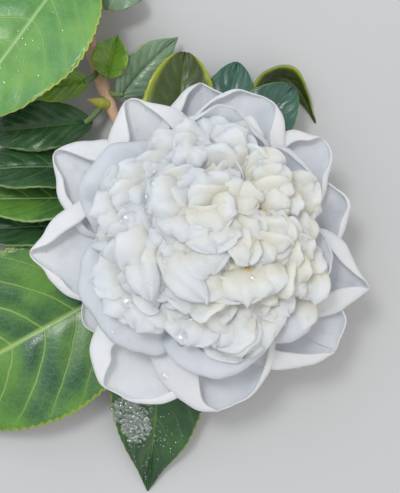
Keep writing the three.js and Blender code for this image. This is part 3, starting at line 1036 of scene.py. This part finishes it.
def heart_lobes(bloom):
    """Every small petal of the heart: those that show, and those under them, dealt out by a spiral."""
    chance = random.Random(bloom.seed)
    for lobe in HEART_LOBES:
        roll = lobe.roll or chance.uniform(-17, 17)
        crease = lobe.crease or chance.uniform(-0.2, 0.1)
        yield lobe._replace(roll=roll, crease=crease), 0.0
    for count in range(bloom.under_lobes):
        out = math.sqrt((count + 0.5) / bloom.under_lobes)
        angle = count * GOLDEN_ANGLE
        heading = math.degrees(angle) + chance.uniform(-80, 80)
        yield Lobe(
            x=UNDER_LOBES["middle"][0] + out * math.cos(angle) * UNDER_LOBES["reach"],
            y=UNDER_LOBES["middle"][1] + out * math.sin(angle) * UNDER_LOBES["reach"],
            heading=heading,
            width=chance.uniform(*UNDER_LOBES["widths"]),
            hang=chance.uniform(*UNDER_LOBES["hangs"]),
            droop=chance.uniform(*UNDER_LOBES["droops"]),
            curl=chance.choice(UNDER_LOBES["curls"]),
            roll=chance.uniform(-25, 25),
            crease=chance.uniform(-0.3, 0.3),
        ), UNDER_LOBES["sink"] + chance.uniform(-0.8, 1.6)


def nearest_cluster(x, y):
    """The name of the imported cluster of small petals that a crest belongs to."""
    spot = AXIS + Vector((x, y, 0)) * MM

    def distance(name):
        low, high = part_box(name)
        middle = (low + high) / 2
        return math.hypot(middle.x - spot.x, middle.y - spot.y) / (high.x - low.x)

    return min((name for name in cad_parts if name.startswith("petal_cluster")), key=distance)


# Leaves

def leaf_outline(along, taper):
    """A leaf's half width, as a share of its widest."""
    if not 0 < along < 1:
        return 0.01
    body = math.sin(math.pi * along**0.8) ** mix(0.5, 0.8, taper)
    return max(0.01, body * (1 - 0.4 * taper * smooth((along - 0.7) / 0.3)))


def leaf_mesh(bm, leaf, seed):
    base, tip = Vector(leaf.base), Vector(leaf.tip)
    chord = (tip - base).normalized()
    level = Vector((-chord.y, chord.x, 0)).normalized()
    middle = base.lerp(tip, 0.5) + level * (2 * leaf.bend) + UP * (2 * leaf.arch)
    midrib = Arc(base, middle, tip)
    length = (tip - base).length
    teeth = round(length / TOOTH_SPACING)
    slope = math.tan(math.radians(leaf.fold))
    columns, rows = (28, teeth * 5) if leaf.width > LARGE_LEAF else (20, teeth * 4)

    def place(u, v):
        x = v / 2
        along = mix(x + 0.5, (1 + math.sin(x * math.pi)) / 2, 0.5)
        heading = midrib.heading(along)
        aside = Vector((-heading.y, heading.x, 0)).normalized()
        aside.rotate(Matrix.Rotation(math.radians(leaf.roll), 3, heading))
        upwards = heading.cross(aside)
        tooth = (along * teeth) % 1.0
        bite = TOOTH_DEPTH * tooth * smooth(along * 6) * smooth(abs(u) * 4 - 3)
        outline = leaf_outline(along, leaf.taper) * (1 + bite)
        across = u * leaf.width / 2 * outline
        phase = along * VEIN_PAIRS - VEIN_SWEEP * abs(u) ** 1.35
        off = abs((phase + 0.5) % 1.0 - 0.5)
        swell = 0.42 * smooth(off * 2.4) * smooth((1 - abs(u)) * 3) * smooth(abs(u) * 5)
        groove = -0.5 * math.exp(-((across / 0.7) ** 2))
        wave = 0.7 * math.sin(along * 19 + seed * 2.1 + (1.7 if u > 0 else 0)) * abs(u) ** 2.5
        broad = 0.8 * noise.noise(Vector((along * 3.1, u * 0.8, seed * 4.4)))
        lift = (math.sqrt(across**2 + 1) - 1) * slope
        lift += swell + groove + (wave + broad) * smooth(along * 4) * smooth((1 - along) * 4)
        return midrib.point(along) + aside * across + upwards * lift, ((u + 1) / 2, along)

    grid(bm, columns, rows, place)
    root = TWIG.point(leaf.node)
    bow = base.lerp(root, 0.4) - chord * 2
    petiole = Arc(root, bow, midrib.point(0.06))
    tube(bm, petiole, lambda t: mix(1.25, 0.85, smooth(t * 3)) * PETIOLE_RADIUS, 10, 16)


# Settings that a user would change

def colour_setting(name, description, default):
    limits = {"subtype": "COLOR", "min": 0, "max": 1}
    return bpy.props.FloatVectorProperty(name=name, description=description, default=default, **limits)


def length_setting(name, description, default):
    return bpy.props.FloatProperty(name=name, description=description, default=default, unit="LENGTH")


def share_setting(name, description, default):
    limits = {"subtype": "FACTOR", "min": 0, "max": 1}
    return bpy.props.FloatProperty(name=name, description=description, default=default, **limits)


class CamelliaBloomSettings(bpy.types.PropertyGroup):
    petal_thickness: length_setting("Petal thickness", "Thickness of a petal", 0.00045)
    margin_roll: length_setting("Margin roll", "Width of the rolled margin of a petal", 0.0009)
    translucence: share_setting("Translucence", "Share of the light that goes through a petal", 0.42)
    glow: share_setting("Glow", "Share of the light that goes through a small petal", 0.55)
    crumple: length_setting("Crumple", "Height of the folds in the small petals", 0.0011)
    under_lobes: bpy.props.IntProperty(
        name="Hidden small petals", description="Small petals under those that show", default=170, min=0
    )
    seed: bpy.props.IntProperty(name="Seed", description="Deals out the small petals", default=7)
    white: colour_setting("White", "Back of a large petal", (0.925, 0.92, 0.91))
    cool_white: colour_setting("Cool white", "Shell petals, and clouds on other petals", (0.88, 0.9, 0.93))
    # Painted shade: a large petal's face and its clouds are greyer and bluer than its back, standing in for
    # the shade under its folded margins.
    face: colour_setting("Petal face", "Colour of a large petal's face", (0.79, 0.81, 0.85))
    face_shade: colour_setting("Petal face clouds", "Clouds on a large petal's face", (0.72, 0.74, 0.79))
    # Painted light: the paler face of the guard petals on the lit, twig's side; the shell petals take it for
    # their clouds.
    painted_lit_face: colour_setting("Pale petal face", "Large petals on the twig's side", (0.92, 0.93, 0.955))
    heart: colour_setting("Heart white", "Small petals at the heart's surface", (0.93, 0.95, 0.962))
    # Painted shade: ivory, cream and deep cream are the darker tints of the small petals deeper in the heart,
    # standing in for the warm shade in its crevices.
    ivory: colour_setting("Ivory", "Small petals a little below the surface", (0.95, 0.945, 0.905))
    cream: colour_setting("Cream", "Small petals deeper in the heart", (0.95, 0.93, 0.845))
    crevice_shade_cream: colour_setting("Deep cream", "Small petals in the heart's crevices", (0.95, 0.895, 0.7))
    sepal: colour_setting("Sepal", "Sepal colour", (0.2, 0.27, 0.07))
    sepal_pale: colour_setting("Pale sepal", "Colour of the down on the sepals", (0.42, 0.46, 0.2))


class CamelliaLeafSettings(bpy.types.PropertyGroup):
    leaf_thickness: length_setting("Leaf thickness", "Thickness of a leaf", 0.0005)
    net_scale: bpy.props.FloatProperty(
        name="Vein net", description="Cells of the fine vein net, for each metre", default=520.0
    )
    underside: colour_setting("Underside", "Leaf underside", (0.14, 0.22, 0.08))
    underside_pale: colour_setting("Pale underside", "Paler patches of the underside", (0.22, 0.3, 0.12))
    bark: colour_setting("Bark", "Twig bark", (0.88, 0.56, 0.4))
    bark_dark: colour_setting("Dark bark", "Bark in its cracks", (0.52, 0.3, 0.19))
    bark_speck: colour_setting("Bark specks", "Corky specks", (0.6, 0.47, 0.36))


class CamelliaStageSettings(bpy.types.PropertyGroup):
    camera_height: length_setting("Camera height", "Height of the camera over the surface", 0.306)
    lens: bpy.props.FloatProperty(
        name="Lens", description="Focal length of the camera", default=64.9, unit="CAMERA"
    )
    floor: colour_setting("Floor", "Colour of the floor", (0.5, 0.5, 0.5))


# One operator for each group of like pieces

class CAMELLIA_OT_twig(bpy.types.Operator):
    """Grow the twig, with its bark and cut end"""

    bl_idname = "camellia.twig"
    bl_label = "Twig"

    def execute(self, context):
        nodes = [leaf.node for leaf in LEAVES.values()] + [node for node, _ in BUDS.values()]

        def radius_at(share):
            swelling = sum(math.exp(-(((share - node) / 0.012) ** 2)) for node in nodes)
            return mix(*TWIG_RADII, share) * (1 + 0.16 * min(swelling, 1.4))

        def grooves(angle, share):
            spot = Vector((math.cos(angle) * 1.6, math.sin(angle) * 1.6, share * 22))
            return 1 + 0.06 * noise.noise(spot) + 0.035 * noise.noise(spot * 3.3)

        bm = bmesh.new()
        tube(bm, TWIG, radius_at, 28, 260, grooves)
        bm.faces.ensure_lookup_table()
        cut = TWIG.point(0)
        for face in bm.faces:
            if all((vert.co - cut).dot(TWIG.heading(0)) < 0.05 for vert in face.verts):
                face.material_index = 1
        leaves = context.scene.camellia_leaves
        finish_piece(bm, "twig_bark", [bark_finish(leaves), wood_finish()], ["twig"])
        return {"FINISHED"}


class CAMELLIA_OT_calyx(bpy.types.Operator):
    """Grow the sepals and the short core that carries the petals"""

    bl_idname = "camellia.calyx"
    bl_label = "Calyx"

    def execute(self, context):
        bloom = context.scene.camellia_bloom
        bm = bmesh.new()
        core = Arc(Vector((0, 0, 8)), Vector((0, 0, 17)), Vector((0, 0, 27)))
        tube(bm, core, lambda t: mix(2.5, 4.6, smooth(t * 3)) * (1 - 0.3 * smooth(t * 3 - 2)), 24, 20)
        for count in range(SEPALS):
            azimuth = count * 360 / SEPALS + 10 * (count % 2)
            sepal = Petal(azimuth, reach=7.0, width=8.5, level=count % 3, point=0.5, wave=0.25)
            petal_mesh(bm, SEPAL_RING, sepal, 40 + count, bloom)
        finish_piece(bm, "calyx_sepals", [sepal_finish(bloom)], ["calyx"], 0.0005)
        return {"FINISHED"}


class CAMELLIA_OT_petals(bpy.types.Operator):
    """Grow the ring of guard petals and the shell petals inside it"""

    bl_idname = "camellia.petals"
    bl_label = "Large petals"

    def execute(self, context):
        bloom = context.scene.camellia_bloom
        # Painted light and shade: a greyer face for the shaded petals and a paler face for those on the lit
        # side.
        face = petal_finish("large petal face", bloom.translucence, bloom.face, bloom.face_shade)
        painted_lit_face = petal_finish("pale petal face", bloom.translucence, bloom.painted_lit_face, bloom.cool_white)
        back = petal_finish("large petal back", bloom.translucence, bloom.white, bloom.cool_white)
        shell = petal_finish("shell petal", bloom.glow, bloom.cool_white, bloom.painted_lit_face)
        rings = (
            ("petal_guard", "guard_petal", GUARD, GUARD_PETALS, back, (face, painted_lit_face)),
            ("petal_shell", "inner_petal", SHELL, SHELL_PETALS, shell, (shell, shell)),
        )
        seed = 0
        for piece, node, ring, petals, outer, faces in rings:
            for count, petal in enumerate(petals, 1):
                seed += 1
                bm = bmesh.new()
                petal_mesh(bm, ring, petal, seed, bloom)
                name = f"{piece}_{count:02d}"
                nodes = [f"{node}_{count:02d}"]
                # Painted light: the petals on the lit, twig's side wear the paler face, the rest the greyer
                # one.
                finish = [outer, faces[abs(petal.azimuth) > LIT_SIDE_FROM]]
                finish_piece(bm, name, finish, nodes, bloom.petal_thickness, two_faced=True)
        return {"FINISHED"}


class CAMELLIA_OT_heart(bpy.types.Operator):
    """Grow the crumpled heart of small petals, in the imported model's clusters"""

    bl_idname = "camellia.heart"
    bl_label = "Heart"

    def execute(self, context):
        bloom = context.scene.camellia_bloom
        tints = (
            petal_finish("small petal", bloom.glow, bloom.heart, bloom.cool_white, bloom.ivory),
            petal_finish("small petal ivory", bloom.glow, bloom.heart, bloom.ivory, bloom.cream),
            petal_finish("small petal cream", bloom.glow, bloom.ivory, bloom.heart, bloom.cream),
            petal_finish("small petal deep cream", bloom.glow, bloom.ivory, bloom.cream, bloom.crevice_shade_cream),
        )
        clusters = {name: bmesh.new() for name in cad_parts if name.startswith("petal_cluster")}
        chance = random.Random(bloom.seed)
        for seed, (lobe, sink) in enumerate(heart_lobes(bloom)):
            crest = lobe.crest(DOME, sink)
            bm = clusters[nearest_cluster(crest.x, crest.y)]
            # Painted shade: the deeper a petal lies under the dome, and the further right, away from the
            # light, the creamier and darker its tint; towards the top and bottom it is paler.
            depth = sink - lobe.lift * 0.3 + chance.uniform(-1.0, 1.0) - 2.2
            depth += smooth((crest.x + 14) / 26) * SHADE_WARMER_RIGHT
            depth -= smooth((abs(crest.y) - 16) / 12) * SHADE_PALER_ASIDE
            tint = sum(depth > level for level in SHADE_TINT_DEPTHS)
            verts = lobe_mesh(bm, crest, lobe, seed + 1, bloom.crumple / MM)
            for vert in verts:
                for face in vert.link_faces:
                    face.material_index = tint
        for name, bm in clusters.items():
            piece = name.replace("petal_cluster", "heart_petals")
            finish_piece(bm, piece, tints, [name], bloom.petal_thickness)
        return {"FINISHED"}


class CAMELLIA_OT_stamens(bpy.types.Operator):
    """Grow the few stamens that show in the heart's crevices"""

    bl_idname = "camellia.stamens"
    bl_label = "Stamens"

    def execute(self, context):
        chance = random.Random(context.scene.camellia_bloom.seed)
        bm = bmesh.new()
        for tuft in TUFTS:
            for _ in range(tuft.count):
                x = tuft.x + chance.uniform(-1.3, 1.3)
                y = tuft.y + chance.uniform(-1.3, 1.3)
                tip = Vector((x, y, DOME.height(x, y) - tuft.sink + chance.uniform(-0.6, 0.6)))
                root = Vector((x * 0.6, y * 0.6, 24))
                stalk = Arc(root, root.lerp(tip, 0.5) + Vector((0.6, -0.6, 0)), tip)
                tube(bm, stalk, lambda share: FILAMENT_RADIUS, 6, 10)
                anther = Matrix.Translation(tip) @ Matrix.Diagonal((0.75, 0.5, 0.6, 1))
                bmesh.ops.create_icosphere(bm, subdivisions=2, radius=1.0, matrix=anther)
        for face in bm.faces:
            face.smooth = True
        finish_piece(bm, "stamens", [stamen_finish()], merge=0.0001)
        return {"FINISHED"}


class CAMELLIA_OT_leaves(bpy.types.Operator):
    """Grow the leaves with their petioles"""

    bl_idname = "camellia.leaves"
    bl_label = "Leaves"

    def execute(self, context):
        leaves = context.scene.camellia_leaves
        finishes = {tone: leaf_finish(tone, leaves) for tone in LEAF_TONES}
        underside = underleaf_finish(leaves)
        for seed, (name, leaf) in enumerate(LEAVES.items()):
            bm = bmesh.new()
            leaf_mesh(bm, leaf, seed)
            finish = [underside, finishes[leaf.tone]]
            thickness = leaves.leaf_thickness
            finish_piece(bm, f"blade_{name}", finish, [f"leaf_{name}"], thickness, two_faced=True)
        return {"FINISHED"}


class CAMELLIA_OT_buds(bpy.types.Operator):
    """Grow the leaf buds on the twig"""

    bl_idname = "camellia.buds"
    bl_label = "Leaf buds"

    def execute(self, context):
        finish = bud_finish()
        for name, (node, way) in BUDS.items():
            root = TWIG.point(node)
            tip = root + Vector(way).normalized() * (BUD_LENGTH + TWIG_RADII[0])
            bm = bmesh.new()

            def radius_at(share):
                scales = 1 + 0.1 * ((share * 4) % 1.0)
                return BUD_RADIUS * math.sin(math.pi * (0.3 + 0.69 * share)) * scales

            tube(bm, Arc(root, root.lerp(tip, 0.5), tip), radius_at, 18, 28)
            finish_piece(bm, f"bud_{name}", [finish], [f"leaf_bud_{name}"])
        return {"FINISHED"}


class CAMELLIA_OT_drops(bpy.types.Operator):
    """Set rain drops on the petals and leaves"""

    bl_idname = "camellia.drops"
    bl_label = "Rain drops"

    def execute(self, context):
        chance = random.Random(DROP_SEED)
        bm = bmesh.new()
        large_ball, small_ball = Ball(24), Ball(8)
        drops = list(DROPS)
        for shower in SHOWERS:
            for _ in range(shower.count):
                out = math.sqrt(chance.random()) * shower.spread
                angle = chance.random() * 2 * math.pi
                x = shower.x + out * math.cos(angle)
                y = shower.y + out * math.sin(angle)
                drops.append(Drop(x, y, chance.uniform(*shower.radii)))
        depsgraph = context.evaluated_depsgraph_get()
        for drop in drops:
            above = PLACE @ Vector((drop.x, drop.y, 100))
            hit, spot, normal, *_ = context.scene.ray_cast(depsgraph, above, -UP)
            if not hit:
                continue
            normal = (normal + UP).normalized()
            turn = normal.to_track_quat("Z", "Y").to_matrix().to_4x4()
            squat = Matrix.Diagonal((drop.radius, drop.radius, drop.radius * DROP_HEIGHT, 1))
            local = PLACE.inverted() @ Matrix.Translation(spot)
            place = Matrix.Translation(local.to_translation()) @ turn @ squat
            ball = large_ball if drop.radius > LARGE_DROP else small_ball
            ball.copy_to(bm, place)
        drops = finish_piece(bm, "rain_drops", [water_finish()], merge=0.0001)
        drops.visible_shadow = False
        return {"FINISHED"}


class CAMELLIA_OT_stage(bpy.types.Operator):
    """Set the floor, the soft lights and the camera that looks straight down"""

    bl_idname = "camellia.stage"
    bl_label = "Stage"

    def execute(self, context):
        scene = context.scene
        stage = scene.camellia_stage
        bm = bmesh.new()
        bmesh.ops.create_grid(bm, x_segments=1, y_segments=1, size=FLOOR_SIZE)
        mesh = bpy.data.meshes.new("floor")
        bm.to_mesh(mesh)
        bm.free()
        mesh.materials.append(floor_finish(stage))
        floor = bpy.data.objects.new("floor", mesh)
        scene.collection.objects.link(floor)
        floor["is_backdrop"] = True
        for name, settings in LAMPS.items():
            self.lamp(name, *settings)
        world = bpy.data.worlds.new("soft surroundings")
        world.use_nodes = True
        background = world.node_tree.nodes["Background"].inputs
        background["Color"].default_value = SURROUNDINGS_COLOUR
        background["Strength"].default_value = SURROUNDINGS_STRENGTH
        scene.world = world
        scene.view_settings.view_transform = "Standard"
        scene.cycles.diffuse_bounces = 10
        scene.cycles.transmission_bounces = 10
        camera = bpy.data.cameras.new("camera")
        camera.lens = stage.lens
        camera.sensor_width = 36.0
        camera.clip_start = 0.01
        eye = bpy.data.objects.new("camera", camera)
        eye.location = AXIS + Vector((-CAMERA_ASIDE * MM, 0.0, stage.camera_height))
        scene.collection.objects.link(eye)
        scene.camera = eye
        return {"FINISHED"}

    def lamp(self, name, offset, size, power, colour):
        """A square soft light at that offset from the bloom, facing it."""
        light = bpy.data.lights.new(name, "AREA")
        light.size = size
        light.energy = power
        light.color = colour
        lamp = bpy.data.objects.new(name, light)
        lamp.location = AXIS + Vector(offset)
        lamp.rotation_euler = Vector(offset).to_track_quat("Z", "Y").to_euler()
        bpy.context.scene.collection.objects.link(lamp)


class CAMELLIA_PT_panel(bpy.types.Panel):
    """The sprig's sizes, colours and pieces"""

    bl_idname = "CAMELLIA_PT_panel"
    bl_label = "Camellia Sprig"
    bl_space_type = "VIEW_3D"
    bl_region_type = "UI"
    bl_category = "Camellia"

    def draw(self, context):
        for group, kind in SETTINGS.items():
            column = self.layout.column()
            for name in kind.__annotations__:
                column.prop(getattr(context.scene, group), name)
        for operator in OPERATORS:
            self.layout.operator(operator.bl_idname)


OPERATORS = (
    CAMELLIA_OT_twig,
    CAMELLIA_OT_calyx,
    CAMELLIA_OT_petals,
    CAMELLIA_OT_heart,
    CAMELLIA_OT_stamens,
    CAMELLIA_OT_leaves,
    CAMELLIA_OT_buds,
    CAMELLIA_OT_drops,
    CAMELLIA_OT_stage,
)
SETTINGS = {
    "camellia_bloom": CamelliaBloomSettings,
    "camellia_leaves": CamelliaLeafSettings,
    "camellia_stage": CamelliaStageSettings,
}
CLASSES = (*SETTINGS.values(), *OPERATORS, CAMELLIA_PT_panel)


def register():
    for cls in CLASSES:
        bpy.utils.register_class(cls)
    for name, kind in SETTINGS.items():
        setattr(bpy.types.Scene, name, bpy.props.PointerProperty(type=kind))


def unregister():
    for name in SETTINGS:
        delattr(bpy.types.Scene, name)
    for cls in reversed(CLASSES):
        bpy.utils.unregister_class(cls)


def main():
    register()
    bpy.ops.camellia.twig()
    bpy.ops.camellia.calyx()
    bpy.ops.camellia.petals()
    bpy.ops.camellia.heart()
    bpy.ops.camellia.stamens()
    bpy.ops.camellia.leaves()
    bpy.ops.camellia.buds()
    bpy.ops.camellia.drops()
    bpy.ops.camellia.stage()
    boxes = {"cad": CAD_BOX, "visual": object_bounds()}
    {name: [list(corner) for corner in box] for name, box in boxes.items()}


if __name__ == "__main__":
    main()
